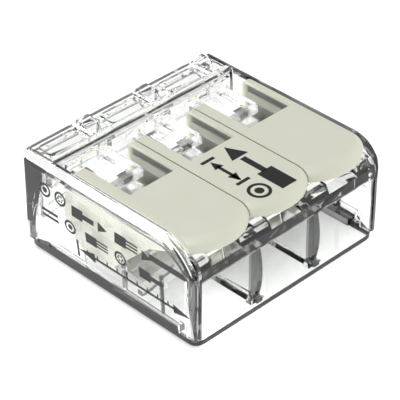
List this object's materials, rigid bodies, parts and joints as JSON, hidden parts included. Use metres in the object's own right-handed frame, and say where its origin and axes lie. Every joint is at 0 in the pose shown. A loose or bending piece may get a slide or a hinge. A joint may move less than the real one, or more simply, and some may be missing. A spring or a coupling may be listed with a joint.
{
  "type": "lever wire connector",
  "caption": "Clear splicing connector: stripped wires enter side by side at the front, and each is clamped on a common busbar by a sprung leg that its own lever lifts.",
  "frame": {"origin": "centre of the underside", "axes": "+X along the row of poles, the wire entries face -Y, the levers are on top at +Z"},
  "size_m": [0.023, 0.021, 0.0101],
  "materials": {
    "clear_polycarbonate": "polished clear moulding",
    "tinned_copper": "bright tinned sheet",
    "spring_steel": "bright rolled strip",
    "moulded_lever": "fine satin moulding"
  },
  "bodies": {
    "root": {"housing_shell": "clear_polycarbonate", "base_cover": "clear_polycarbonate", "busbar": "tinned_copper", "spring_1_contact_leg": "spring_steel", "spring_2_contact_leg": "spring_steel", "spring_3_contact_leg": "spring_steel"},
    "lever_1": {"lever_1": "moulded_lever"},
    "clamping_leg_1": {"spring_1_clamping_leg": "spring_steel"},
    "lever_2": {"lever_2": "moulded_lever"},
    "clamping_leg_2": {"spring_2_clamping_leg": "spring_steel"},
    "lever_3": {"lever_3": "moulded_lever"},
    "clamping_leg_3": {"spring_3_clamping_leg": "spring_steel"}
  },
  "joints": [
    {"name": "lever_1_hinge", "type": "hinge", "parent": "root", "child": "lever_1", "pos_m": [-0.00695, 0.00135, 0.0066], "axis": [-1, 0, 0], "range_deg": [0, 95]},
    {"name": "clamping_leg_1_bend", "type": "hinge", "parent": "root", "child": "clamping_leg_1", "pos_m": [-0.0067, -0.0022, 0.0064], "axis": [1, 0, 0], "range_deg": [0, 27]},
    {"name": "lever_2_hinge", "type": "hinge", "parent": "root", "child": "lever_2", "pos_m": [0, 0.00135, 0.0066], "axis": [-1, 0, 0], "range_deg": [0, 95]},
    {"name": "clamping_leg_2_bend", "type": "hinge", "parent": "root", "child": "clamping_leg_2", "pos_m": [0.00025, -0.0022, 0.0064], "axis": [1, 0, 0], "range_deg": [0, 27]},
    {"name": "lever_3_hinge", "type": "hinge", "parent": "root", "child": "lever_3", "pos_m": [0.00695, 0.00135, 0.0066], "axis": [-1, 0, 0], "range_deg": [0, 95]},
    {"name": "clamping_leg_3_bend", "type": "hinge", "parent": "root", "child": "clamping_leg_3", "pos_m": [0.0072, -0.0022, 0.0064], "axis": [1, 0, 0], "range_deg": [0, 27]}
  ],
  "couplings": [
    {"joint": "clamping_leg_1_bend", "follows": "lever_1_hinge", "ratio": 0.28},
    {"joint": "clamping_leg_2_bend", "follows": "lever_2_hinge", "ratio": 0.28},
    {"joint": "clamping_leg_3_bend", "follows": "lever_3_hinge", "ratio": 0.28}
  ]
}
